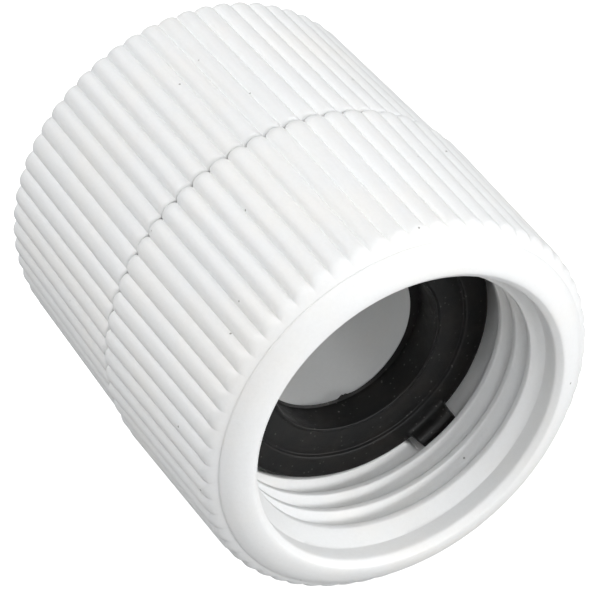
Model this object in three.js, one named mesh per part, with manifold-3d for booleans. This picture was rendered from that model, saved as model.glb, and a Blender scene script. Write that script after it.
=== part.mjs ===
// Hose-swivel compression fitting, in millimetres, +Z up.
// The fitting lies on its side along the Y axis: the hose mouth opens towards
// -Y (the front) and the pipe socket towards +Y. Lengths along the axis are
// given as s, measured from the edge of the mouth; the whole group is then
// moved so that the origin is halfway along the fitting.
// Angles round the axis are in degrees from +X towards +Z.
import * as THREE from 'three';
import { mergeVertices } from 'three/addons/utils/BufferGeometryUtils.js';
import Module from 'manifold-3d';

const wasm = await Module();
wasm.setup();

const DEG = Math.PI / 180;

// ---- shared dimensions -----------------------------------------------------
const NUT_FRONT = -0.15;           // foremost point of the swivel nut's rim
const COMP_NUT_END = 37.20;

const RIB_COUNT = 62;              // grip ribs round both nuts
const RIB_PHASE = 1.53;            // angle of one groove
const RIB_DEPTH = 0.40;
const RIB_END_DEPTH = 0.28;        // on the chamfered ends of the ribs
const RIB_CHAMFER = 0.40;          // length of those chamfers along s

// Compression thread, hand-tight, shared by the body and the compression nut
const COMP_THREAD_FROM = 20.40;
const COMP_THREAD_TO = 28.60;
const COMP_THREAD = { pitch: 2.50, refAngle: 20, footHalf: 0.88, crestHalf: 0.30 };

const LATHE_SEGMENTS = 48;
const COLUMNS_PER_RIB = 3;
const THREAD_STEPS = 36;           // per turn
const THREAD_SINK = 0.25;          // how far a ridge's foot is sunk into its wall
const CUT_OVERRUN = 1;             // how far a bore cutter runs past the end faces

// ---- mesh conversion -------------------------------------------------------
// Closed solid from a three.js geometry, turned outside out where needed.
function toSolid(geometry) {
  geometry.deleteAttribute('normal');
  geometry.deleteAttribute('uv');
  const merged = mergeVertices(geometry, 1e-4);
  const position = merged.attributes.position;
  const index = merged.index.array;
  const triangles = [];
  const corners = [new THREE.Vector3(), new THREE.Vector3(), new THREE.Vector3()];
  let volume = 0;
  for (let i = 0; i < index.length; i += 3) {
    const ids = [index[i], index[i + 1], index[i + 2]];
    if (new Set(ids).size < 3) continue;
    corners.forEach((corner, k) => corner.fromBufferAttribute(position, ids[k]));
    volume += corners[0].dot(corners[1].cross(corners[2]));
    triangles.push(...ids);
  }
  if (volume < 0) {
    for (let i = 0; i < triangles.length; i += 3) {
      [triangles[i + 1], triangles[i + 2]] = [triangles[i + 2], triangles[i + 1]];
    }
  }
  const mesh = new wasm.Mesh({
    numProp: 3,
    vertProperties: new Float32Array(position.array),
    triVerts: new Uint32Array(triangles),
  });
  mesh.merge();
  return new wasm.Manifold(mesh);
}

function toGeometry(solid) {
  const { vertProperties, triVerts } = solid.getMesh();
  const geometry = new THREE.BufferGeometry();
  const positions = new THREE.BufferAttribute(new Float32Array(vertProperties), 3);
  geometry.setAttribute('position', positions);
  geometry.setIndex(new THREE.BufferAttribute(new Uint32Array(triVerts), 1));
  geometry.computeVertexNormals();
  return geometry;
}

// ---- turned shapes ---------------------------------------------------------
const toShapePoints = (points) => points.map(([radius, s]) => new THREE.Vector2(radius, s));

// Solid of revolution from [radius, s] points that start and end on the axis.
const turned = (points) => toSolid(new THREE.LatheGeometry(toShapePoints(points), LATHE_SEGMENTS));

// Solid of revolution from a section of [radius, s] points clear of the axis.
const ring = (points) => turned([...points, points[0]]);

// Ribbed barrel from [crest radius, s, groove depth] points; a point without a
// depth stays round. One column of each rib lies in the groove.
function ribbed(points) {
  const geometry = new THREE.LatheGeometry(
    toShapePoints(points),
    RIB_COUNT * COLUMNS_PER_RIB,
    (90 - RIB_PHASE) * DEG,
  );
  const position = geometry.attributes.position;
  for (let i = 0; i < position.count; i++) {
    const column = Math.floor(i / points.length);
    const depth = points[i % points.length][2] ?? 0;
    if (column % COLUMNS_PER_RIB !== 0 || depth === 0) continue;
    const [x, y, z] = [position.getX(i), position.getY(i), position.getZ(i)];
    const radius = Math.hypot(x, z);
    const scale = (radius - depth) / radius;
    position.setXYZ(i, x * scale, y, z * scale);
  }
  return toSolid(geometry);
}

// Prism standing across a radius at an angle, from a section of [radius, s] points.
function radialPrism(points, width, angle) {
  const shape = new THREE.Shape(toShapePoints(points));
  const geometry = new THREE.ExtrudeGeometry(shape, { depth: width, bevelEnabled: false });
  geometry.translate(0, 0, -width / 2);
  geometry.rotateY(-angle * DEG);
  return toSolid(geometry);
}

// ---- threads ---------------------------------------------------------------
// Right-hand helix about the Y axis that passes s = refS at refAngle. Its frames
// stay radial and axial, so the section keeps its attitude all the way round.
class ThreadHelix extends THREE.Curve {
  constructor(dimensions) {
    super();
    Object.assign(this, dimensions);
  }

  sAt(t) {
    return this.from + (this.to - this.from) * t;
  }

  angleAt(t) {
    return (this.refAngle - 360 * (this.sAt(t) - this.refS) / this.pitch) * DEG;
  }

  getPoint(t, target = new THREE.Vector3()) {
    const angle = this.angleAt(t);
    return target.set(this.radius * Math.cos(angle), this.sAt(t), this.radius * Math.sin(angle));
  }

  // t already runs evenly along the helix, so no arc-length table is needed.
  getPointAt(t, target) {
    return this.getPoint(t, target);
  }

  computeFrenetFrames(segments) {
    const frames = { tangents: [], normals: [], binormals: [] };
    for (let i = 0; i <= segments; i++) {
      const angle = this.angleAt(i / segments);
      frames.normals.push(new THREE.Vector3(Math.cos(angle), 0, Math.sin(angle)));
      frames.binormals.push(new THREE.Vector3(0, 1, 0));
      frames.tangents.push(new THREE.Vector3(Math.sin(angle), 0, -Math.cos(angle)));
    }
    return frames;
  }
}

// One ridge of trapezoid section, rising from the wall radius to the crest radius.
// footHalf and crestHalf are half its widths along s; from and to are the s of its ends.
function threadRidge({ wallR, crestR, footHalf, crestHalf, pitch, refS, refAngle, from, to }) {
  const footR = wallR + THREAD_SINK * Math.sign(wallR - crestR);
  const height = crestR - footR;
  const section = new THREE.Shape();
  section.moveTo(0, -footHalf);
  section.lineTo(height, -crestHalf);
  section.lineTo(height, crestHalf);
  section.lineTo(0, footHalf);
  section.closePath();
  return toSolid(new THREE.ExtrudeGeometry(section, {
    steps: Math.round(THREAD_STEPS * (to - from) / pitch),
    bevelEnabled: false,
    extrudePath: new ThreadHelix({ radius: footR, pitch, refS, refAngle, from, to }),
  }));
}

// ---- swivel nut: smooth rounded rim, ribs, hose thread, inward lip ---------
const MOUTH_R = 13.52;             // counterbore at the mouth
const MOUTH_CHAMFER = 0.16;
const RIM_R = 16.10;               // smooth rim round the mouth
const RIM_END = 1.19;
const NUT_RIB_FRONT_R = 17.12;     // crest radius at the rim
const NUT_RIB_REAR_R = 17.50;      // crest radius at the rear end
const NUT_END = 18.35;
const LIP_FRONT = 15.10;
const LIP_R = 9.78;

const HOSE_ROOT_R = 13.62;
const HOSE_THREAD = {              // 3/4-11.5 hose thread, internal
  wallR: HOSE_ROOT_R,
  crestR: 12.30,
  footHalf: 0.98,
  crestHalf: 0.26,
  pitch: 25.4 / 11.5,
  refS: 3.20,
  refAngle: 306.7,
};
const HOSE_THREAD_RUNS = [         // [from, to] in s
  [2.05, 8.60],                    // main thread
  [9.89, 10.42],                   // short run that keeps the washer in
];

function swivelNut() {
  const barrel = ribbed([
    [0, NUT_FRONT],
    [14.00, NUT_FRONT],
    [14.90, 0.12],
    [15.60, 0.58],
    [RIM_R, RIM_END],
    [NUT_RIB_FRONT_R, 2.25, 0.34],
    [NUT_RIB_REAR_R, NUT_END - RIB_CHAMFER, RIB_DEPTH],
    [NUT_RIB_REAR_R - 0.25, NUT_END, RIB_END_DEPTH],
    [0, NUT_END],
  ]);
  const bore = turned([
    [0, NUT_FRONT - CUT_OVERRUN],
    [MOUTH_R + MOUTH_CHAMFER, NUT_FRONT - CUT_OVERRUN],
    [MOUTH_R + MOUTH_CHAMFER, NUT_FRONT],
    [MOUTH_R, 0.05],
    [MOUTH_R, 1.60],
    [HOSE_ROOT_R, 2.00],
    [HOSE_ROOT_R, LIP_FRONT - 0.6],
    [13.00, LIP_FRONT],
    [LIP_R, LIP_FRONT],
    [LIP_R, NUT_END + CUT_OVERRUN],
    [0, NUT_END + CUT_OVERRUN],
  ]);
  return HOSE_THREAD_RUNS.reduce(
    (nut, [from, to]) => nut.add(threadRidge({ ...HOSE_THREAD, from, to })),
    barrel.subtract(bore),
  );
}

// ---- hose washer: stepped front face and ears that catch in the thread -----
const WASHER_FACE = 9.70;          // recessed inner part of the front face
const WASHER_RING = 9.45;          // raised outer part
const WASHER_BACK = 12.75;
const WASHER_R = 12.20;
const WASHER_HOLE_R = 7.50;
const WASHER_SHIFT = { x: 0.40, z: 0.20 };  // the loose washer lies off centre
const EAR_ANGLE = 305.3;
const EAR_COUNT = 2;
const EAR_WIDTH = 3.70;
const EAR_SECTION = [              // [radius, s]
  [11.60, 8.40], [12.05, 8.20], [12.60, 8.28], [13.05, 8.62],
  [13.22, 8.85], [13.22, 11.40], [11.60, 11.40],
];

function hoseWasher() {
  let washer = ring([
    [WASHER_HOLE_R, WASHER_FACE + 0.10],
    [WASHER_HOLE_R + 0.15, WASHER_FACE],
    [9.90, WASHER_FACE],
    [10.25, WASHER_RING],
    [WASHER_R - 0.20, WASHER_RING],
    [WASHER_R, WASHER_RING + 0.20],
    [WASHER_R, WASHER_BACK - 0.15],
    [WASHER_R - 0.15, WASHER_BACK],
    [WASHER_HOLE_R, WASHER_BACK],
  ]);
  for (let i = 0; i < EAR_COUNT; i++) {
    washer = washer.add(radialPrism(EAR_SECTION, EAR_WIDTH, EAR_ANGLE + i * 360 / EAR_COUNT));
  }
  return washer;
}

// ---- flanged tailpiece the swivel nut turns on -----------------------------
const FLANGE_FRONT = 13.05;        // the washer seats on this face
const FLANGE_BACK = 14.75;
const FLANGE_R = 11.90;
const TAIL_R = 9.40;
const TAIL_BORE_R = 7.45;
const TAIL_END = 22.00;

const tailpiece = () => ring([
  [TAIL_BORE_R + 0.10, FLANGE_FRONT],
  [FLANGE_R - 0.2, FLANGE_FRONT],
  [FLANGE_R, FLANGE_FRONT + 0.2],
  [FLANGE_R, FLANGE_BACK],
  [TAIL_R, FLANGE_BACK],
  [TAIL_R, TAIL_END - 0.3],
  [TAIL_R - 0.3, TAIL_END],
  [TAIL_BORE_R, TAIL_END],
  [TAIL_BORE_R, FLANGE_FRONT + 0.10],
]);

// ---- fitting body: tailpiece joint, pipe stop, pipe socket, seal cone ------
const BODY_FRONT = 18.68;
const BODY_END = 30.60;
const BODY_ROOT_R = 13.70;         // outside, at the root of the thread
const BODY_CREST_R = 14.60;
const JOINT_SOCKET_R = 9.75;       // takes the tailpiece
const STOP_FRONT = 22.35;
const PIPE_STOP = 23.80;
const STOP_BORE_R = 7.5;
const PIPE_SOCKET_R = 10.85;       // for a pipe of 21.34 mm outside diameter
const CONE_START = 27.20;
const CONE_END_R = 13.00;

function fittingBody() {
  const shell = ring([
    [JOINT_SOCKET_R, BODY_FRONT],
    [13.3, BODY_FRONT],
    [BODY_ROOT_R, BODY_FRONT + 0.4],
    [BODY_ROOT_R, BODY_END - 0.5],
    [13.35, BODY_END],
    [CONE_END_R, BODY_END],
    [PIPE_SOCKET_R, CONE_START],
    [PIPE_SOCKET_R, PIPE_STOP + 0.4],
    [PIPE_SOCKET_R - 0.4, PIPE_STOP],
    [STOP_BORE_R, PIPE_STOP],
    [STOP_BORE_R, STOP_FRONT],
    [JOINT_SOCKET_R, STOP_FRONT],
  ]);
  return shell.add(threadRidge({
    ...COMP_THREAD,
    wallR: BODY_ROOT_R,
    crestR: BODY_CREST_R,
    refS: COMP_THREAD_FROM,
    from: COMP_THREAD_FROM,
    to: COMP_THREAD_TO,
  }));
}

// ---- loose rings in the compression nut: sections of [radius, s] -----------
const SEAL_SECTION = [             // tapered pipe seal in the body's cone
  [11.00, 28.30], [11.20, 28.05], [12.75, 30.45], [12.75, 31.25], [11.00, 31.25],
];
const THRUST_SECTION = [           // between the seal and the grip ring
  [11.15, 31.60], [13.40, 31.60], [13.40, 32.60], [11.15, 32.60],
];
const GRIP_SECTION = [             // outer cone and two inner teeth
  [11.45, 32.95], [13.30, 32.95], [13.30, 33.45], [12.35, 35.05],
  [11.45, 35.05], [11.00, 34.65], [11.45, 34.15], [11.00, 33.75],
];
const SPLIT_SECTION = [[10, 32], [14.5, 32], [14.5, 36], [10, 36]];  // clears the grip ring
const SPLIT_WIDTH = 2.6;
const SPLIT_ANGLE = 250;

const gripRing = () =>
  ring(GRIP_SECTION).subtract(radialPrism(SPLIT_SECTION, SPLIT_WIDTH, SPLIT_ANGLE));

// ---- compression nut: ribs, thread, inner cone, end wall -------------------
const COMP_NUT_FRONT = 18.66;
const COMP_RIB_FRONT_R = 17.20;
const COMP_RIB_REAR_R = 16.88;
const COMP_NUT_ROOT_R = 14.95;
const COMP_NUT_MINOR_R = 14.00;
const RING_BORE_R = 13.95;         // round the thrust ring
const END_WALL_FRONT = 35.40;
const ENTRY_R = 11.20;             // pipe opening in the end wall
const ENTRY_CHAMFER = 0.7;

function compressionNut() {
  const barrel = ribbed([
    [0, COMP_NUT_FRONT],
    [COMP_RIB_FRONT_R - 0.25, COMP_NUT_FRONT, RIB_END_DEPTH],
    [COMP_RIB_FRONT_R, COMP_NUT_FRONT + RIB_CHAMFER, RIB_DEPTH],
    [COMP_RIB_REAR_R, COMP_NUT_END - RIB_CHAMFER, RIB_DEPTH],
    [COMP_RIB_REAR_R - 0.30, COMP_NUT_END, RIB_END_DEPTH],
    [0, COMP_NUT_END],
  ]);
  const bore = turned([
    [0, COMP_NUT_FRONT - CUT_OVERRUN],
    [15.30, COMP_NUT_FRONT - CUT_OVERRUN],
    [15.30, COMP_NUT_FRONT],
    [COMP_NUT_ROOT_R, COMP_NUT_FRONT + 0.4],
    [COMP_NUT_ROOT_R, 29.90],
    [RING_BORE_R, 30.90],
    [RING_BORE_R, 33.30],
    [12.85, END_WALL_FRONT],
    [ENTRY_R, END_WALL_FRONT],
    [ENTRY_R, COMP_NUT_END - ENTRY_CHAMFER],
    [ENTRY_R + ENTRY_CHAMFER, COMP_NUT_END],
    [ENTRY_R + ENTRY_CHAMFER, COMP_NUT_END + CUT_OVERRUN],
    [0, COMP_NUT_END + CUT_OVERRUN],
  ]);
  // Half a pitch from the body's ridge, so the two threads interleave.
  return barrel.subtract(bore).add(threadRidge({
    ...COMP_THREAD,
    wallR: COMP_NUT_ROOT_R,
    crestR: COMP_NUT_MINOR_R,
    refS: COMP_THREAD_FROM + COMP_THREAD.pitch / 2,
    from: COMP_THREAD_FROM,
    to: COMP_THREAD_TO + 0.4,
  }));
}

// ---- materials and assembly ------------------------------------------------
const FINISHES = {
  nut: { color: 0xf0f0ee, roughness: 0.45 },
  body: { color: 0xe9e9e6, roughness: 0.45 },
  washer: { color: 0x141414, roughness: 0.7 },
  seal: { color: 0x161616, roughness: 0.75 },
  innerRing: { color: 0xe4e2da, roughness: 0.4 },
};

const fitting = new THREE.Group();
fitting.position.y = -(NUT_FRONT + COMP_NUT_END) / 2;

function addPiece(name, solid, finish) {
  const material = new THREE.MeshStandardMaterial({ ...finish, metalness: 0 });
  const mesh = new THREE.Mesh(toGeometry(solid), material);
  mesh.name = name;
  fitting.add(mesh);
  return mesh;
}

addPiece('swivel_nut', swivelNut(), FINISHES.nut);
const washerMesh = addPiece('hose_washer', hoseWasher(), FINISHES.washer);
washerMesh.position.set(WASHER_SHIFT.x, 0, WASHER_SHIFT.z);
addPiece('tailpiece', tailpiece(), FINISHES.body);
addPiece('fitting_body', fittingBody(), FINISHES.body);
addPiece('pipe_seal', ring(SEAL_SECTION), FINISHES.seal);
addPiece('thrust_ring', ring(THRUST_SECTION), FINISHES.innerRing);
addPiece('grip_ring', gripRing(), FINISHES.innerRing);
addPiece('compression_nut', compressionNut(), FINISHES.nut);

export default fitting;
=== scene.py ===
"""A hose-to-pipe coupling: a ribbed swivel nut with a rubber washer in its mouth, a fitting
body with its tailpiece and seals, and a ribbed compression nut over a split grip ring.

The axis lies along Y. The hose mouth is the front, at -Y, and the pipe end is the rear, at +Y.
"""
import math

import bpy
import numpy as np
from mathutils import Matrix, Vector


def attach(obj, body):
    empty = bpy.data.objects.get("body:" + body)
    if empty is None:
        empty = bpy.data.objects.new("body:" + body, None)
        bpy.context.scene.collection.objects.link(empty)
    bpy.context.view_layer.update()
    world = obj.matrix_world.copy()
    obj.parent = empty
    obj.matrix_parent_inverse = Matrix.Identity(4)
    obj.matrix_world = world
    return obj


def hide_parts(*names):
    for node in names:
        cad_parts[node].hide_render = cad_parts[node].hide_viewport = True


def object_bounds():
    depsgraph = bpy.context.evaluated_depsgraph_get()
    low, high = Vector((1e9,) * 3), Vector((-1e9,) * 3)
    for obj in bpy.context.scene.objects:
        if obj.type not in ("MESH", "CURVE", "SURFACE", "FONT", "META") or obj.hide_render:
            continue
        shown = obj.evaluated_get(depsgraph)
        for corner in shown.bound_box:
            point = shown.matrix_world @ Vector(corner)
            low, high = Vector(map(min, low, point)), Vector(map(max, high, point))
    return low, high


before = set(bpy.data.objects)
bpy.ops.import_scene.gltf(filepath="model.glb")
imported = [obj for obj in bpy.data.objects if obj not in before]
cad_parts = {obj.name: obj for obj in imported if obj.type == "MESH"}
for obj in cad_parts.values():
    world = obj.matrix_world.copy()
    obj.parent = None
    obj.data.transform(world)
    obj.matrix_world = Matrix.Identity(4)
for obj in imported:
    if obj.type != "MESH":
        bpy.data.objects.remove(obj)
CAD_BOX = [list(p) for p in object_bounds()]

# Lengths are in millimetres and turned into metres on the way into a mesh. r is the distance
# from the axis. s runs along it from the edge of the hose mouth to the rear end; the frame's
# origin is at s = S_MID. theta is in degrees round the axis, from +X towards +Z.
MM = 0.001
REAR_END = 37.20
S_MID = REAR_END - CAD_BOX[1][1] / MM
FLOOR_Z = CAD_BOX[0][2]

# Ribs round both nuts: places across one rib from -1 to 1, and its height there.
RIBS = 62
RIB_PHASE = 1.53
RIB_X = np.array([-1, -0.95, -0.85, -0.68, -0.47, -0.24, 0, 0.24, 0.47, 0.68, 0.85, 0.95])
RIB_SHAPE = np.interp(
    np.abs(RIB_X), [0, 0.24, 0.47, 0.68, 0.85, 0.95, 1.0], [1.0, 0.955, 0.82, 0.60, 0.33, 0.10, 0.0]
)
RIB_WEAR = 0.008
# Columns of the ribbed walls; the plain and threaded walls use every second one.
THETA_FINE = (
    RIB_PHASE + (np.arange(RIBS)[:, None] + (RIB_X + 1)[None, :] / 2) * 360.0 / RIBS
).reshape(-1)
THETA = THETA_FINE[::2]


# ---- mesh helpers ----------------------------------------------------------------
def xyz(r, theta, s):
    r, theta, s = np.broadcast_arrays(
        np.asarray(r, float), np.asarray(theta, float), np.asarray(s, float)
    )
    t = np.radians(theta)
    return np.stack([r * np.cos(t), s - S_MID, r * np.sin(t)], -1) * MM


def smoothstep(x):
    return x * x * (3 - 2 * x)


def angle_from(theta, centre):
    """Signed angle from centre, between -180 and 180."""
    return (theta - centre + 180) % 360 - 180


def per_rib(values):
    """Spreads one value per rib over that rib's columns."""
    return np.repeat(values, len(RIB_X))[None, :]


class Shell:
    """Grids and strips that share edges by position; weld() makes them one closed mesh."""

    def __init__(self):
        self.verts, self.quads, self.tris, self.count = [], [], [], 0

    def add(self, points):
        flat = points.reshape(-1, 3)
        ids = self.count + np.arange(len(flat)).reshape(points.shape[:-1])
        self.verts.append(flat)
        self.count += len(flat)
        return ids

    def grid(self, points, closed=True):
        ids = self.add(points)
        if closed:
            ids = np.hstack([ids, ids[:, :1]])
        for a, b in zip(ids, ids[1:]):
            self.quads.append(np.stack([a[:-1], a[1:], b[1:], b[:-1]], -1))

    def lathe(self, profile):
        """A plain wall from (r, s) points."""
        self.grid(np.stack([xyz(r, THETA, s) for r, s in profile]))

    def join(self, fine, coarse, flip=False):
        """Joins a ring to one with half as many points; flip turns the faces over."""
        fine, coarse = self.add(fine), self.add(coarse)
        f0, f1, f2 = fine[0::2], fine[1::2], np.roll(fine[0::2], -1)
        c0, c1 = coarse, np.roll(coarse, -1)
        for corners in ([f0, f1, c0], [f1, c1, c0], [f1, f2, c1]):
            self.tris.append(np.stack(corners[::-1] if flip else corners, -1))

    def spiral(self, points, turn, inward):
        """A threaded wall whose end column meets its first column, turn rows further on."""
        ids = self.add(points)
        strips = [np.stack([a[:-1], a[1:], b[1:], b[:-1]], -1) for a, b in zip(ids, ids[1:])]
        if inward:
            strips.reverse()
        a, b = ids[turn:, -1], ids[:-turn, 0]
        strips.append(np.stack([a[:-1], b[:-1], b[1:], a[1:]], -1))
        self.quads += [q[:, ::-1] for q in strips] if inward else strips

    def cap(self, loop):
        """Closes a planar loop of points with one flat polygon."""
        self.quads.append(self.add(loop)[None, :])

    def weld(self, name, sharp=38.0):
        verts = np.concatenate(self.verts)
        key = np.round(verts / (2e-4 * MM)).astype(np.int64)
        _, first, back = np.unique(key, axis=0, return_index=True, return_inverse=True)
        back = back.reshape(-1)
        faces = []
        for block in self.quads + self.tris:
            for f in back[block].tolist():
                face = [p for i, p in enumerate(f) if p != f[i - 1]]
                if len(set(face)) == len(face) and len(face) > 2:
                    faces.append(face)
        points = verts[first]
        # A negative volume means that the faces point inwards.
        fans = np.array([(f[0], f[i], f[i + 1]) for f in faces for i in range(1, len(f) - 1)])
        a, b, c = (points[fans[:, k]] for k in range(3))
        if np.sum(a * np.cross(b, c)) < 0:
            faces = [f[::-1] for f in faces]
        mesh = bpy.data.meshes.new(name)
        mesh.from_pydata(points.tolist(), [], faces)
        mesh.validate()
        mesh.shade_smooth()
        mesh.set_sharp_from_angle(angle=math.radians(sharp))
        mesh.update()
        obj = bpy.data.objects.new(name, mesh)
        bpy.context.scene.collection.objects.link(obj)
        return obj


def curve(points, step):
    """Points along a smooth curve through the given (r, s) points, about step apart."""
    p = np.array(points, float)
    q = np.vstack([2 * p[0] - p[1], p, 2 * p[-1] - p[-2]])
    out = []
    for i in range(1, len(q) - 2):
        a, b, c, d = q[i - 1 : i + 3]
        n = max(1, int(round(np.linalg.norm(c - b) / step)))
        for k in range(n):
            t = k / n
            quadratic = (2 * a - 5 * b + 4 * c - d) * t**2
            cubic = (3 * b - 3 * c + d - a) * t**3
            out.append(0.5 * (2 * b + (c - a) * t + quadratic + cubic))
    out.append(p[-1])
    return np.array(out)


def rounded(corners, steps=3):
    """A closed loop of (r, s, cut) corners, each cut back and rounded."""
    n, out = len(corners), []
    for i in range(n):
        a, b, c = (np.array(corners[(i + k) % n][:2], float) for k in (-1, 0, 1))
        to_a, to_c = np.linalg.norm(a - b), np.linalg.norm(c - b)
        cut = min(corners[i][2], 0.45 * to_a, 0.45 * to_c)
        p, q = b + (a - b) / to_a * cut, b + (c - b) / to_c * cut
        for k in range(steps + 1):
            t = k / steps
            out.append((1 - t) ** 2 * p + 2 * t * (1 - t) * b + t**2 * q)
    return np.array(out)


def filled(loop, step):
    """Adds points along a closed loop's long edges."""
    out = []
    for i in range(len(loop)):
        a, b = loop[i], loop[(i + 1) % len(loop)]
        n = max(1, int(math.ceil(np.linalg.norm(b - a) / step)))
        out += [a + (b - a) * k / n for k in range(n)]
    return np.array(out)


def turned(name, loop, columns, sharp=38.0):
    """A closed ring from a closed (r, s) loop."""
    theta = np.arange(columns) * 360.0 / columns
    p = np.vstack([loop, loop[:1]])
    shell = Shell()
    shell.grid(xyz(p[:, 0][:, None], theta, p[:, 1][:, None]))
    return shell.weld(name, sharp)


# ---- ribs and threads ------------------------------------------------------------
def barrel(rows, seed):
    """r and s of a ribbed outer wall from (s, crest radius, groove radius) rows; the two
    radii are equal where it is smooth."""
    rng = np.random.default_rng(seed)
    s, crest, groove = (column[:, None] for column in np.array(rows, float).T)
    shape = np.tile(RIB_SHAPE, RIBS)[None, :]
    worn = np.clip(per_rib(rng.normal(0, RIB_WEAR, RIBS)), -2 * RIB_WEAR, 0.5 * RIB_WEAR)
    r = groove + (crest - groove) * shape
    return r + worn * np.clip((crest - groove) / 0.3, 0, 1) * shape, s


def rear_face(shell, edge_r, step_r, inner):
    """The flat rear face: in from the rib ends to step_r, then along the inner (r, s)
    profile with half as many columns."""
    coarse_r, s = inner[0]
    face = xyz(step_r, THETA_FINE, s)
    shell.grid(np.stack([xyz(edge_r, THETA_FINE, s), face]))
    shell.join(face, xyz(coarse_r, THETA, s))
    shell.lathe(inner)


def thread_rows(pitch, foot, crest):
    """Positions across one pitch and the ridge's height there, from 0 at the root to 1 at
    the crest. foot and crest are the ridge's half widths."""
    slope = foot - crest
    half = [
        (pitch / 2, 0.0),
        (foot + 0.05, 0.0),
        (foot, 0.022),
        (foot - 0.06, 0.09),
        (foot - 0.12, 0.12 / slope),
        ((foot + crest) / 2, 0.5),
        (crest + 0.10, 1 - 0.10 / slope),
        (crest + 0.05, 0.943),
        (crest + 0.005, 0.978),
        (crest - 0.045, 0.995),
        (crest - 0.10, 1.0),
    ]
    return np.array([(-x, h) for x, h in half] + [(0.0, 1.0)] + half[:0:-1])


def threaded(
    shell, *, root_r, depth, pitch, foot, crest, ref_s, ref_angle, runs, s_from, s_to, lead=None
):
    """A threaded wall between two plain rings. A positive depth stands towards the axis, on
    a wall that faces it. A ridge centre passes ref_s at ref_angle. runs are the stretches of
    ridge as (from, to, fade in degrees) in ridge-centre s. lead(r, s) reshapes the wall."""
    rows = thread_rows(pitch, foot, crest)
    turns = np.arange(-3, int((s_to - ref_s) / pitch) + 4)
    turns = turns[(ref_s + pitch * (turns + 1.3) > s_from - 2 * pitch)]
    phase = (ref_angle - THETA) / 360.0
    all_s, all_lift = [], []
    for n in turns:
        centre = ref_s + pitch * (phase + n)
        mask = np.zeros_like(centre)
        for start, end, fade in runs:
            soft = fade / 360.0 * pitch
            into = np.clip((centre - start) / soft + 0.5, 0, 1)
            out_of = np.clip((end - centre) / soft + 0.5, 0, 1)
            mask = np.maximum(mask, smoothstep(into * out_of))
        all_s.append(centre[None, :] + rows[:, 0][:, None])
        all_lift.append(rows[:, 1][:, None] * mask[None, :])
    s, lift = np.concatenate(all_s), np.concatenate(all_lift)
    inside = (s > s_from) & (s < s_to)
    s = np.clip(s, s_from, s_to)
    r = root_r - np.where(inside, lift, 0) * depth
    if lead is not None:
        r = lead(r, s)
    shell.spiral(xyz(r, THETA[None, :], s), turn=len(rows), inward=depth > 0)


# ---- swivel nut ------------------------------------------------------------------
HOSE_PITCH = 25.4 / 11.5
HOSE_ROOT_R = 13.62
HOSE_DEPTH = 1.32
HOSE_REF_S, HOSE_REF_ANGLE = 3.20, 306.7
HOSE_START, HOSE_FADE = 2.05, 14.0
HOSE_END = 11.55
MOUTH_R = 13.18
MOUTH_DEPTH = 1.80
LEAD_BACK = 0.245  # from the first ridge's centre forward to the end of the lead-in cone
NUT_MAX_R = 17.494

# Round the mouth: (r, s), outward from the bore.
NUT_LIP = [
    (13.20, 0.60), (13.21, 0.47), (13.235, 0.36), (13.285, 0.28), (13.36, 0.20),
    (13.44, 0.125), (13.52, 0.045), (13.59, -0.02), (13.655, -0.08), (13.71, -0.115),
]
# On to the start of the ribs: (r, s), with a smooth curve drawn through them.
NUT_RIM = [
    (13.75, -0.134), (13.98, -0.128), (14.30, -0.07), (14.66, 0.05), (15.02, 0.21), (15.38, 0.42),
    (15.68, 0.66), (15.90, 0.87), (16.05, 1.02), (16.10, 1.10), (16.10, 1.15), (16.075, 1.19),
]
# Rib crests and grooves: stations s, then the radius at each.
NUT_CREST = (
    [1.19, 1.27, 1.37, 1.48, 1.60, 1.74, 1.90, 2.08, 2.30, 2.60,
     17.60, 17.80, 17.96, 18.10, 18.21, 18.29, 18.335, 18.35],
    [16.075, 16.19, 16.36, 16.53, 16.69, 16.84, 16.97, 17.07, 17.135, 17.155,
     17.49, 17.48, 17.45, 17.39, 17.30, 17.19, 17.08, 16.99],
)
NUT_GROOVE = (
    [1.19, 1.27, 1.37, 1.48, 1.60, 1.74, 1.90, 2.08, 2.30, 2.60,
     2.95, 3.40, 17.60, 17.96, 18.21, 18.335, 18.35],
    [16.075, 16.185, 16.34, 16.485, 16.61, 16.715, 16.78, 16.82, 16.83, 16.81,
     16.79, 16.785, 17.105, 17.08, 17.02, 16.93, 16.89],
)
# Where the ribbed wall has rows of vertices.
NUT_STATIONS = [
    1.23, 1.27, 1.32, 1.37, 1.42, 1.48, 1.54, 1.60, 1.67, 1.74, 1.82, 1.90, 1.99, 2.08, 2.18,
    2.30, 2.45, 2.60, 2.95, 3.40, 6.7, 10.25, 13.8, 17.35, 17.60, 17.72, 17.84, 17.95, 18.04,
    18.12, 18.19, 18.25, 18.30, 18.335, 18.35,
]
# From the rear face through the hole in the rear wall to the hose thread: (r, s).
NUT_INNER = [
    (16.45, 18.35), (13.0, 18.35), (9.95, 18.35), (9.82, 18.30), (9.78, 18.18), (9.78, 16.6),
    (9.78, 15.27), (9.82, 15.15), (9.95, 15.10), (11.6, 15.10), (12.9, 15.10), (13.15, 15.03),
    (13.45, 14.75), (13.58, 14.5),
    (HOSE_ROOT_R, 14.3), (HOSE_ROOT_R, 12.9), (HOSE_ROOT_R, HOSE_END),
]
NUT_BORE = [
    (MOUTH_R, MOUTH_DEPTH), (MOUTH_R + 0.003, 1.77), (MOUTH_R + 0.007, 1.40),
    (MOUTH_R + 0.012, 1.05),
]


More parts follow.
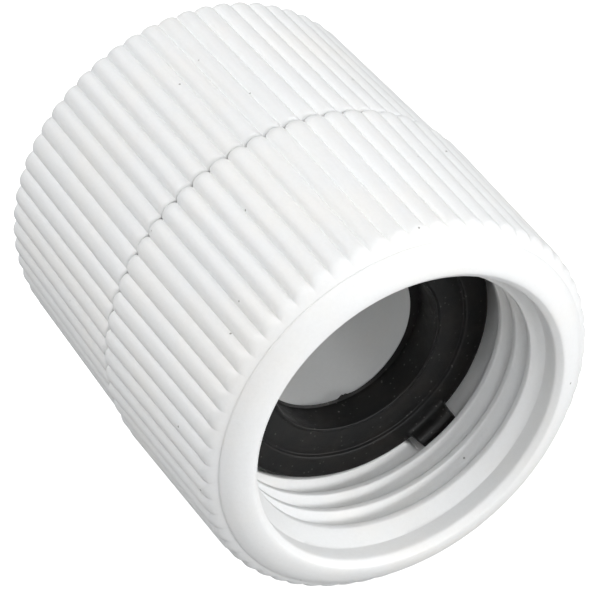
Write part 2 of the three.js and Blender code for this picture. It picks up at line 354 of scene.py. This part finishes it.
def hose_lead_in(r, s):
    """A cone from the bottom of the counterbore in to the first ridge's crest."""
    first = HOSE_START + np.mod(
        HOSE_REF_S + HOSE_PITCH * (HOSE_REF_ANGLE - THETA) / 360.0 - HOSE_START, HOSE_PITCH
    )
    grown = np.clip((first - HOSE_START) / (HOSE_FADE / 360.0 * HOSE_PITCH) + 0.5, 0, 1)
    top = HOSE_ROOT_R - HOSE_DEPTH * smoothstep(grown)
    edge = (first - LEAD_BACK)[None, :]
    along = np.clip((s - MOUTH_DEPTH) / np.maximum(edge - MOUTH_DEPTH, 0.02), 0, 1)
    cone = MOUTH_R + (top[None, :] - MOUTH_R) * along
    return np.where(s < edge, np.minimum(r, cone), r)


def make_swivel_nut():
    shell = Shell()
    front = np.vstack([NUT_LIP, curve(NUT_RIM, step=0.16)])
    rows = [(s, r, r) for r, s in front]
    crest, groove = np.interp(NUT_STATIONS, *NUT_CREST), np.interp(NUT_STATIONS, *NUT_GROOVE)
    rows += list(zip(NUT_STATIONS, crest, groove))
    r, s = barrel(rows, seed=3)
    # Each rib ends in a blunt tongue that reaches past the grooves, no two quite as far.
    rng = np.random.default_rng(5)
    reach = per_rib(0.20 + np.clip(rng.normal(0, 0.03, RIBS), -0.05, 0.04))
    tongue = np.tile(np.sqrt(np.clip(1 - np.abs(RIB_X / 0.93) ** 2.4, 0, 1)), RIBS)
    s = s + ((reach + 0.16) * tongue - 0.16) * np.clip((s - 17.6) / 0.75, 0, 1)
    r = np.minimum(r, NUT_MAX_R)
    shell.grid(xyz(r, THETA_FINE, s))
    rear_face(shell, edge_r=r[-1], step_r=16.60, inner=NUT_INNER)
    threaded(
        shell,
        root_r=HOSE_ROOT_R,
        depth=HOSE_DEPTH,
        pitch=HOSE_PITCH,
        foot=0.98,
        crest=0.24,
        ref_s=HOSE_REF_S,
        ref_angle=HOSE_REF_ANGLE,
        runs=[(HOSE_START, 8.60, HOSE_FADE), (9.89, 10.42, 1.4)],
        s_from=MOUTH_DEPTH,
        s_to=HOSE_END,
        lead=hose_lead_in,
    )
    shell.lathe(NUT_BORE)
    (bore_r, bore_s), (lip_r, lip_s) = NUT_BORE[-1], NUT_LIP[0]
    shell.join(xyz(lip_r, THETA_FINE, lip_s), xyz(bore_r, THETA, bore_s), flip=True)
    return shell.weld("swivel_nut_shell")


# ---- compression nut -------------------------------------------------------------
PIPE_THREAD = dict(pitch=2.5, foot=0.88, crest=0.28, ref_angle=20.0)
PIPE_FADE = 6.0
COMP_FRONT = 18.66
COMP_ROOT_R = 14.95
COMP_THREAD_FROM, COMP_THREAD_TO = 19.15, 29.90
RIB_DEPTH = 0.38

# Ribbed wall at its front and rear edges: (s, crest radius, groove radius).
COMP_FRONT_ROWS = [
    (COMP_FRONT, 16.86, 16.62), (18.675, 16.95, 16.70), (18.71, 17.03, 16.75),
    (18.77, 17.10, 16.78), (18.85, 17.15, 16.80), (18.96, 17.185, 16.815), (19.10, 17.20, 16.82),
]
COMP_STATIONS = (22.0, 26.0, 30.0, 34.0, 36.55)
COMP_REAR_ROWS = [
    (36.72, 16.87, 16.49), (36.86, 16.84, 16.47), (36.98, 16.78, 16.43), (37.08, 16.70, 16.38),
    (37.15, 16.60, 16.32), (37.19, 16.48, 16.25), (REAR_END, 16.38, 16.18),
]
# From the rear face in through the pipe hole and forward to the thread: (r, s).
COMP_INNER = [
    (15.80, REAR_END), (14.2, REAR_END), (12.6, REAR_END), (12.02, REAR_END), (11.92, 37.185),
    (11.86, 37.14), (11.26, 36.56), (11.21, 36.47), (11.20, 36.36), (11.20, 35.9),
    (11.20, 35.52), (11.23, 35.43), (11.32, 35.40), (12.2, 35.40), (12.72, 35.40),
    (12.84, 35.37), (12.92, 35.27), (13.4, 34.35), (13.88, 33.43), (13.94, 33.28),
    (13.95, 33.1), (13.95, 32.0), (13.95, 31.0), (14.0, 30.84), (14.9, 29.98),
    (COMP_ROOT_R, COMP_THREAD_TO),
]
# From the thread out to the front face: (r, s).
COMP_MOUTH = [
    (COMP_ROOT_R, COMP_THREAD_FROM), (14.98, 19.02), (15.26, 18.74), (15.33, 18.68),
    (15.42, COMP_FRONT), (15.85, COMP_FRONT),
]


def make_compression_nut():
    shell = Shell()
    step_r = 15.95
    crest = np.interp(COMP_STATIONS, [19.10, 36.55], [17.20, 16.88])
    straight = list(zip(COMP_STATIONS, crest, crest - RIB_DEPTH))
    r, s = barrel(COMP_FRONT_ROWS + straight + COMP_REAR_ROWS, seed=9)
    # The ribs start a little unevenly behind the front edge.
    rng = np.random.default_rng(21)
    ragged = np.clip(per_rib(rng.normal(0, 0.03, RIBS)), -0.03, 0.05)
    s = s + ragged * np.clip((19.3 - s) / 0.6, 0, 1) * np.clip((s - COMP_FRONT) / 0.05, 0, 1)
    shell.grid(xyz(r, THETA_FINE, s))
    rear_face(shell, edge_r=r[-1], step_r=step_r, inner=COMP_INNER)
    threaded(
        shell,
        root_r=COMP_ROOT_R,
        depth=0.95,
        ref_s=21.65,
        runs=[(20.40, 29.00, PIPE_FADE)],
        s_from=COMP_THREAD_FROM,
        s_to=COMP_THREAD_TO,
        **PIPE_THREAD,
    )
    shell.lathe(COMP_MOUTH)
    face = xyz(step_r, THETA_FINE, COMP_FRONT)
    shell.join(face, xyz(COMP_MOUTH[-1][0], THETA, COMP_FRONT), flip=True)
    shell.grid(np.stack([face, xyz(r[0], THETA_FINE, COMP_FRONT)]))
    return shell.weld("compression_nut_shell")


# ---- fitting body ----------------------------------------------------------------
BODY_R = 13.70
BODY_THREAD_FROM, BODY_THREAD_TO = 19.3, 29.75

# From the thread's rear end, in and forward through the bore, and out to its front: (r, s).
BODY_PROFILE = [
    (BODY_R, BODY_THREAD_TO), (BODY_R, 30.0), (13.68, 30.12), (13.42, 30.5), (13.36, 30.57),
    (13.28, 30.60), (13.10, 30.60), (13.02, 30.57), (12.93, 30.48), (12.4, 29.66), (11.6, 28.40),
    (10.92, 27.32), (10.87, 27.2), (10.85, 27.05), (10.85, 25.6), (10.85, 24.3), (10.80, 24.12),
    (10.55, 23.86), (10.38, 23.80), (9.4, 23.80), (7.70, 23.80), (7.55, 23.76), (7.50, 23.64),
    (7.50, 23.1), (7.50, 22.5), (7.54, 22.39), (7.65, 22.35), (8.6, 22.35), (9.62, 22.35),
    (9.72, 22.32), (9.75, 22.22), (9.75, 20.5), (9.75, 18.84), (9.79, 18.72), (9.91, 18.68),
    (11.6, 18.68), (13.18, 18.68), (13.33, 18.71), (13.62, 18.98), (13.69, 19.1),
    (BODY_R, BODY_THREAD_FROM),
]


def make_fitting_body():
    shell = Shell()
    threaded(
        shell,
        root_r=BODY_R,
        depth=-0.90,
        ref_s=20.40,
        runs=[(20.40, 28.60, PIPE_FADE)],
        s_from=BODY_THREAD_FROM,
        s_to=BODY_THREAD_TO,
        **PIPE_THREAD,
    )
    shell.lathe(BODY_PROFILE)
    return shell.weld("fitting_body_shell")


# ---- hose washer: stepped face, raised lip round the hole, two ears --------------
WASHER_SHIFT = (0.40, 0.20)  # off the axis, in X and Z
WASHER_HOLE_R = 7.50
WASHER_REAR = 12.75
EAR_ANGLES = (305.3, 125.3)
EAR_ARC_R = 12.3

# The section is a closed (r, s) loop. It differs between the plain rim and the ears only in
# the middle stretch, which has as many points in both.
WASHER_FACE = [
    (7.62, 12.75), (7.53, 12.71), (7.50, 12.62), (7.50, 12.1), (7.50, 11.5), (7.50, 10.9),
    (7.50, 10.3), (7.50, 9.85), (7.505, 9.74), (7.53, 9.68), (7.58, 9.645), (7.65, 9.645),
    (7.72, 9.68), (7.78, 9.735), (7.88, 9.755), (8.02, 9.735), (8.25, 9.715), (8.6, 9.70),
    (9.0, 9.70), (9.4, 9.705), (9.72, 9.72), (9.90, 9.74), (10.00, 9.745), (10.05, 9.72),
    (10.08, 9.66), (10.10, 9.56), (10.13, 9.49), (10.20, 9.455), (10.42, 9.445), (10.8, 9.45),
]
PLAIN_RIM = [
    (11.1, 9.45), (11.3, 9.455), (11.45, 9.455), (11.55, 9.455), (11.62, 9.46), (11.68, 9.46),
    (11.74, 9.46), (11.80, 9.462), (11.86, 9.465), (11.93, 9.47), (12.0, 9.48), (12.05, 9.495),
    (12.1, 9.52), (12.15, 9.57), (12.18, 9.63), (12.195, 9.7), (12.2, 9.8), (12.2, 9.95),
    (12.2, 10.15), (12.2, 10.4), (12.2, 10.65), (12.2, 10.9), (12.2, 11.1), (12.2, 11.3),
    (12.2, 11.5), (12.2, 11.75), (12.2, 12.1), (12.2, 12.5), (12.18, 12.64), (12.12, 12.72),
]
EAR_RIM = [
    (11.1, 9.445), (11.3, 9.42), (11.42, 9.34), (11.49, 9.20), (11.54, 9.02), (11.58, 8.82),
    (11.62, 8.62), (11.69, 8.44), (11.79, 8.29), (11.93, 8.19), (12.10, 8.15), (12.30, 8.16),
    (12.50, 8.23), (12.70, 8.32), (12.90, 8.43), (13.08, 8.54), (13.22, 8.65), (13.32, 8.80),
    (13.36, 9.05), (13.36, 9.5), (13.36, 9.9), (13.36, 10.3), (13.36, 10.65), (13.33, 10.95),
    (13.22, 11.18), (12.95, 11.33), (12.6, 11.4), (12.3, 11.5), (12.2, 11.75), (12.17, 12.70),
]
WASHER_BACK = [(12.02, 12.75), (11.0, 12.75), (9.5, 12.75), (8.4, 12.75)]
# Half width of an ear along its section: point number, then half width.
EAR_HALF = ([30, 34, 40, 47, 52, 56, 60], [2.12, 2.02, 1.86, 1.74, 1.78, 1.9, 2.0])
# Width of a thin black skin round the rear edge of the hole, a dark sheet put where there is only
# shade (painted shade): theta, then width.
SHADE_SKIN = (
    [0, 10, 60, 120, 180, 230, 277, 288, 301, 314, 325, 335, 347],
    [0.70, 0.70, 0.60, 0.30, 0.12, 0.16, 0.27, 0.28, 0.34, 0.46, 0.53, 0.58, 0.65],
)
# Ragged nick of real moulding flash on that skin: (angle from NICK_ANGLE, width in degrees,
# height).
NICK_ANGLE = 275.0
NICKS = ((-1.6, 0.9, 0.16), (0.0, 1.3, 0.28), (2.2, 0.8, 0.20), (4.6, 2.2, 0.09))


def washer_columns():
    """Angles round the washer, closer together at the sides of the ears."""
    theta = list(np.arange(0, 360, 1.5))
    for ear in EAR_ANGLES:
        theta = [t for t in theta if abs(angle_from(t, ear)) > 11.5]
        for start, end, count in ((-11.4, -6.0, 22), (6.0, 11.4, 22), (-5.0, 5.0, 9)):
            theta += [ear + d for d in np.linspace(start, end, count)]
    return np.array(sorted(t % 360 for t in theta))[None, :]


def make_hose_washer():
    plain, lug = (
        np.array(WASHER_FACE + rim + WASHER_BACK + WASHER_FACE[:1]) for rim in (PLAIN_RIM, EAR_RIM)
    )
    theta = washer_columns()
    row = np.arange(len(plain))[:, None]
    half = np.interp(row, *EAR_HALF)
    ear_weight = np.zeros((len(plain), theta.size))
    for ear in EAR_ANGLES:
        arc = np.abs(angle_from(theta, ear)) * math.pi / 180 * EAR_ARC_R
        ear_weight = np.maximum(ear_weight, smoothstep(np.clip((half + 0.16 - arc) / 0.34, 0, 1)))
    r, s = (
        plain[:, k][:, None] * (1 - ear_weight) + lug[:, k][:, None] * ear_weight for k in (0, 1)
    )
    # A soft moulded ring is never quite true.
    t = np.radians(theta)
    wave = 0.018 * np.sin(3 * t + 0.7) + 0.012 * np.sin(7 * t + 2.1) + 0.007 * np.sin(13 * t)
    s = s + wave * np.clip((11.5 - s) / 2, 0, 1)
    oval = 0.02 * np.sin(2 * t + 1.0) + 0.012 * np.sin(5 * t)
    r = r + oval * np.clip((10.2 - r) / 2, 0, 1)
    # A thin black skin, wider on one side, narrows the rear edge of the hole: a dark sheet standing
    # in for shade there (painted shade), with real flash only in the nicks.
    row = row % (len(plain) - 1)
    rear_edge = row < 2
    r = np.where(rear_edge, WASHER_HOLE_R - np.interp(theta, *SHADE_SKIN, period=360), r)
    s = np.where(rear_edge, WASHER_REAR - 0.04 * row, s)
    for offset, width, height in NICKS:
        nick = np.exp(-((angle_from(theta, NICK_ANGLE + offset) / width) ** 2))
        r = r - height * nick * rear_edge
    points = xyz(r, theta, s)
    points[..., 0] += WASHER_SHIFT[0] * MM
    points[..., 2] += WASHER_SHIFT[1] * MM
    shell = Shell()
    shell.grid(points)
    return shell.weld("hose_washer_ring", sharp=50.0)


# ---- small turned pieces ---------------------------------------------------------
# Tailpiece: a flange at the front of a tube, as a closed (r, s) loop.
TAILPIECE = [
    (7.58, 13.05), (7.9, 13.05), (9.5, 13.05), (11.3, 13.05), (11.72, 13.05), (11.83, 13.08),
    (11.89, 13.15), (11.9, 13.25), (11.9, 13.9), (11.9, 14.6), (11.88, 14.71), (11.79, 14.75),
    (10.7, 14.75), (9.62, 14.75), (9.47, 14.79), (9.40, 14.9), (9.40, 17.5), (9.40, 20.0),
    (9.40, 21.62), (9.36, 21.74), (9.14, 21.96), (9.04, 22.0), (8.2, 22.0), (7.57, 22.0),
    (7.48, 21.97), (7.45, 21.88), (7.45, 20.0), (7.45, 18.0), (7.45, 16.0), (7.45, 14.6),
    (7.45, 13.5), (7.45, 13.2), (7.46, 13.13), (7.50, 13.07),
]
# Corners of the rings: (r, s, cut).
PIPE_SEAL = [
    (11.00, 28.32, 0.12), (11.20, 28.05, 0.12), (12.75, 30.45, 0.15), (12.75, 31.25, 0.15),
    (11.00, 31.25, 0.12),
]
THRUST_RING = [
    (11.15, 31.60, 0.12), (13.40, 31.60, 0.12), (13.40, 32.60, 0.12), (11.15, 32.60, 0.12),
]
GRIP_RING = [
    (11.45, 32.95, 0.1), (13.30, 32.95, 0.12), (13.30, 33.45, 0.12), (12.35, 35.05, 0.15),
    (11.45, 35.05, 0.1), (11.00, 34.65, 0.03), (11.45, 34.15, 0.08), (11.00, 33.75, 0.03),
]
GRIP_GAP_ANGLE = 250
GRIP_HALF_GAP, GRIP_MID_R = 1.3, 12.2


def make_tailpiece():
    return turned("tailpiece_tube", np.array(TAILPIECE), columns=240)


def make_pipe_seal():
    loop = filled(rounded(PIPE_SEAL, steps=4), step=0.5)
    # Two low beads on the bore, which lies slightly back between them.
    r, s = loop.T
    beads = 0.07 * (np.exp(-(((s - 29.2) / 0.16) ** 2)) + np.exp(-(((s - 30.3) / 0.16) ** 2)))
    loop[:, 0] = r + (r < 11.06) * (0.06 - beads)
    return turned("pipe_seal_ring", loop, columns=220, sharp=50.0)


def make_thrust_ring():
    return turned("thrust_ring_washer", filled(rounded(THRUST_RING), step=0.6), columns=220)


def make_grip_ring():
    loop = filled(rounded(GRIP_RING), step=0.4)
    gap = math.degrees(GRIP_HALF_GAP / GRIP_MID_R)
    theta = np.linspace(GRIP_GAP_ANGLE + gap, GRIP_GAP_ANGLE + 360 - gap, 200)
    p = np.vstack([loop, loop[:1]])
    shell = Shell()
    shell.grid(xyz(p[:, 0][:, None], theta[None, :], p[:, 1][:, None]), closed=False)
    shell.cap(xyz(loop[:, 0], theta[0], loop[:, 1]))
    shell.cap(xyz(loop[::-1, 0], theta[-1], loop[::-1, 1]))
    return shell.weld("grip_ring_split")


# ---- materials -------------------------------------------------------------------
class Shader:
    """A material with one Principled shader, and the nodes that feed it."""

    def __init__(self, name):
        self.material = bpy.data.materials.new(name)
        self.material.use_nodes = True
        self.tree = self.material.node_tree
        self.tree.nodes.clear()
        output = self.node("ShaderNodeOutputMaterial")
        self.bsdf = self.node("ShaderNodeBsdfPrincipled")
        self.tree.links.new(self.bsdf.outputs[0], output.inputs[0])
        self.coords = self.node("ShaderNodeTexCoord").outputs["Object"]

    def node(self, kind, inputs=None, **settings):
        node = self.tree.nodes.new(kind)
        for key, value in settings.items():
            setattr(node, key, value)
        self.feed(node, inputs or {})
        return node

    def feed(self, node, inputs):
        """Links or sets each input; colours are given as RGB."""
        for key, value in inputs.items():
            socket = node.inputs[key]
            if isinstance(value, bpy.types.NodeSocket):
                self.tree.links.new(value, socket)
            else:
                socket.default_value = (*value, 1.0) if socket.type == "RGBA" else value

    def noise(self, scale, detail=3.0, rough=0.5, vector=None):
        inputs = {"Scale": scale, "Detail": detail, "Roughness": rough}
        inputs["Vector"] = vector or self.coords
        return self.node("ShaderNodeTexNoise", inputs).outputs["Fac"]

    def remap(self, value, span=(0.3, 0.7), to=(0, 1), smooth=False):
        inputs = {"From Min": span[0], "From Max": span[1], "To Min": to[0], "To Max": to[1]}
        inputs["Value"] = value
        kind = "SMOOTHSTEP" if smooth else "LINEAR"
        return self.node(
            "ShaderNodeMapRange", inputs, interpolation_type=kind, clamp=True
        ).outputs["Result"]

    def maths(self, operation, *values):
        return self.node(
            "ShaderNodeMath", dict(enumerate(values)), operation=operation
        ).outputs[0]

    def mix(self, factor, a, b):
        """Mixes two colours; 6 and 7 are the Mix node's colour inputs."""
        return self.node("ShaderNodeMix", {0: factor, 6: a, 7: b}, data_type="RGBA").outputs[2]

    def specks(self, scale, size, keep, strength):
        """Sparse round specks: strength inside a speck, 0 elsewhere."""
        cells = self.node("ShaderNodeTexVoronoi", {"Scale": scale, "Vector": self.coords})
        near = self.remap(cells.outputs["Distance"], (size * 0.4, size), (1.0, 0.0), smooth=True)
        split = self.node("ShaderNodeSeparateColor", {0: cells.outputs["Color"]})
        chosen = self.maths("LESS_THAN", split.outputs[0], keep)
        return self.maths("MULTIPLY", self.maths("MULTIPLY", near, chosen), strength)

    def bump(self, height, strength, distance, under=None):
        inputs = {"Strength": strength, "Distance": distance, "Height": height}
        if under is not None:
            inputs["Normal"] = under
        return self.node("ShaderNodeBump", inputs).outputs["Normal"]


def moulded_plastic(name, cool, warm, rough=(0.34, 0.50), subsurface=0.10):
    """Clouded between two near-white colours, with a fine grain and a few dark specks."""
    sh = Shader(name)
    cloud = sh.remap(sh.noise(scale=110, detail=4, rough=0.6), span=(0.40, 0.70), smooth=True)
    colour = sh.mix(cloud, cool, warm)
    grain = sh.remap(sh.noise(scale=3200, detail=4, rough=0.65))
    colour = sh.mix(sh.maths("MULTIPLY", grain, 0.16), colour, tuple(c * 0.82 for c in warm))
    dots = sh.specks(scale=760, size=0.095, keep=0.075, strength=0.85)
    swell = sh.bump(sh.noise(scale=260), strength=0.35, distance=0.00004)
    pores = sh.noise(scale=4200, detail=4, rough=0.7)
    sh.feed(sh.bsdf, {
        "Base Color": sh.mix(dots, colour, (0.25, 0.24, 0.22)),
        "Roughness": sh.remap(sh.noise(scale=650, detail=5, rough=0.6), to=rough),
        "IOR": 1.49,
        "Subsurface Weight": subsurface,
        "Subsurface Radius": (1.0, 0.92, 0.85),
        "Subsurface Scale": 0.0007,
        "Normal": sh.bump(pores, strength=0.6, distance=0.00002, under=swell),
    })
    return sh.material


def black_rubber():
    """Near black, clouded with brown, dusty, with faint rings round the washer's axis."""
    sh = Shader("black_rubber")
    cloud = sh.remap(sh.noise(scale=420, detail=4, rough=0.6), span=(0.4, 0.68), smooth=True)
    colour = sh.mix(cloud, (0.006, 0.0062, 0.0064), (0.012, 0.0105, 0.0095))
    dust = sh.specks(scale=2800, size=0.30, keep=0.22, strength=0.6)
    colour = sh.mix(dust, colour, (0.10, 0.096, 0.092))
    lint = sh.specks(scale=900, size=0.13, keep=0.05, strength=0.8)
    # Fine turning marks from the mould, under a matt grain.
    place = sh.node("ShaderNodeSeparateXYZ", {0: sh.coords}).outputs
    x = sh.maths("SUBTRACT", place[0], WASHER_SHIFT[0] * MM)
    z = sh.maths("SUBTRACT", place[2], WASHER_SHIFT[1] * MM)
    squares = sh.maths("ADD", sh.maths("MULTIPLY", x, x), sh.maths("MULTIPLY", z, z))
    radius = sh.maths("SQRT", squares)
    along = sh.maths("MULTIPLY", place[1], 0.6)
    rings = sh.node("ShaderNodeCombineXYZ", {0: radius, 1: along}).outputs[0]
    marks = sh.noise(scale=5200, detail=2, vector=rings)
    turning = sh.bump(marks, strength=0.30, distance=0.00002)
    grain = sh.noise(scale=2600, detail=4, rough=0.6)
    sh.feed(sh.bsdf, {
        "Base Color": sh.mix(lint, colour, (0.30, 0.29, 0.27)),
        "Roughness": sh.remap(sh.noise(scale=1100, detail=5, rough=0.65), to=(0.34, 0.55)),
        "IOR": 1.52,
        "Specular IOR Level": 0.32,
        "Normal": sh.bump(grain, strength=0.45, distance=0.00003, under=turning),
    })
    return sh.material


def pale_floor():
    """Seen directly it is a bright sweep; what it throws back onto the object is dimmer."""
    sh = Shader("pale_floor")
    seen = sh.node("ShaderNodeLightPath").outputs["Is Camera Ray"]
    paper = sh.mix(sh.remap(sh.noise(scale=40)), (0.94, 0.94, 0.94), (0.95, 0.95, 0.95))
    bounce = (0.50, 0.50, 0.50)
    sh.feed(sh.bsdf, {
        "Base Color": sh.mix(seen, bounce, paper),
        "Emission Color": (1, 1, 1),
        "Emission Strength": sh.maths("MULTIPLY", seen, 0.75),
        "Roughness": 0.9,
        "Specular IOR Level": 0.1,
    })
    return sh.material


white = moulded_plastic("white_moulded_plastic", (0.868, 0.880, 0.886), (0.884, 0.882, 0.868))
core = moulded_plastic(
    "core_plastic", (0.80, 0.812, 0.815), (0.82, 0.815, 0.80), rough=(0.30, 0.42)
)
acetal = moulded_plastic(
    "acetal", (0.76, 0.755, 0.72), (0.78, 0.765, 0.715), rough=(0.26, 0.38), subsurface=0.2
)
black = black_rubber()

# ---- pieces on their bodies: maker, material, body, node, slot -------------------
PIECES = [
    (make_swivel_nut, white, "hose_end", "swivel_nut", "white_plastic"),
    (make_hose_washer, black, "hose_end", "hose_washer", "black_rubber"),
    (make_tailpiece, core, "fitting", "tailpiece", "core_plastic"),
    (make_fitting_body, core, "fitting", "fitting_body", "core_plastic"),
    (make_pipe_seal, black, "fitting", "pipe_seal", "black_rubber"),
    (make_thrust_ring, acetal, "clamp_set", "thrust_ring", "acetal"),
    (make_grip_ring, acetal, "clamp_set", "grip_ring", "acetal"),
    (make_compression_nut, white, "pipe_end", "compression_nut", "white_plastic"),
]
for make, material, body, node, slot in PIECES:
    piece = make()
    piece.data.materials.append(material)
    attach(piece, body)
    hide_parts(node)

# ---- floor, camera and light -----------------------------------------------------
FLOOR_R = 1.6  # metres
FLOOR_SIDES = 64
AZIMUTH, ELEVATION = math.radians(-28.34), math.radians(37.83)
SIN_AZ, COS_AZ = math.sin(AZIMUTH), math.cos(AZIMUTH)
SIN_EL, COS_EL = math.sin(ELEVATION), math.cos(ELEVATION)
# The camera's own directions.
RIGHT = Vector((COS_AZ, SIN_AZ, 0))
FORWARD = Vector((-SIN_AZ * COS_EL, COS_AZ * COS_EL, -SIN_EL))
UP = Vector((-SIN_AZ * SIN_EL, COS_AZ * SIN_EL, COS_EL))
# Camera place, in mm from the point s = 0 on the axis.
EYE_LEFT, EYE_UP, EYE_BACK = 8.976, 9.915, 246.049
# Square area lamps: name, (right, up, towards the camera) in m, side in m, power in W.
LAMPS = (
    ("key", (0.46, 0.40, 0.34), 0.40, 0.60),
    ("wide", (-0.40, 0.50, 0.30), 0.40, 0.40),
    ("fill", (-0.55, 0.40, 0.16), 0.40, 1.14),
    ("over", (-0.30, 0.62, 0.02), 0.40, 0.90),
    ("upper", (-0.25, 0.30, 0.55), 0.30, 1.09),
    ("front", (0.10, 0.12, 0.66), 0.25, 0.86),
    ("face", (0.0, -0.10, 0.70), 0.30, 0.43),
    ("side", (0.66, 0.0, 0.20), 0.30, 1.50),
    ("back", (0.34, 0.56, 0.06), 0.40, 0.66),
    ("mouth", (0.50, -0.10, 0.50), 0.20, 1.78),
)


def add_floor():
    mesh = bpy.data.meshes.new("floor")
    angles = np.linspace(0, 2 * math.pi, FLOOR_SIDES + 1)[:-1]
    rim = [(FLOOR_R * math.cos(t), FLOOR_R * math.sin(t), FLOOR_Z) for t in angles]
    mesh.from_pydata(rim, [], [list(range(FLOOR_SIDES))])
    floor = bpy.data.objects.new("floor", mesh)
    bpy.context.scene.collection.objects.link(floor)
    mesh.materials.append(pale_floor())


def add_camera():
    data = bpy.data.cameras.new("camera")
    data.sensor_width = 36
    data.lens = 195.254237
    data.clip_start, data.clip_end = 0.01, 10
    camera = bpy.data.objects.new("camera", data)
    mouth = Vector((0, -S_MID, 0))
    pose = Matrix((RIGHT, UP, -FORWARD)).transposed().to_4x4()
    pose.translation = (mouth - EYE_LEFT * RIGHT + EYE_UP * UP - EYE_BACK * FORWARD) * MM
    camera.matrix_world = pose
    bpy.context.scene.collection.objects.link(camera)
    bpy.context.scene.camera = camera


def add_lamp(name, place, side, power):
    """A square lamp that points at the frame's origin."""
    data = bpy.data.lights.new(name, "AREA")
    data.shape = "RECTANGLE"
    data.size = data.size_y = side
    data.energy = power
    lamp = bpy.data.objects.new(name, data)
    bpy.context.scene.collection.objects.link(lamp)
    lamp.location = spot = RIGHT * place[0] + UP * place[1] - FORWARD * place[2]
    lamp.rotation_mode = "QUATERNION"
    lamp.rotation_quaternion = (-spot).to_track_quat("-Z", "Y")


def add_world():
    world = bpy.data.worlds.new("studio")
    world.use_nodes = True
    background = world.node_tree.nodes["Background"]
    background.inputs["Color"].default_value = (1, 1, 1, 1)
    background.inputs["Strength"].default_value = 0.035
    bpy.context.scene.world = world
    bpy.context.scene.view_settings.view_transform = "Standard"


add_floor()
add_camera()
for lamp_row in LAMPS:
    add_lamp(*lamp_row)
add_world()
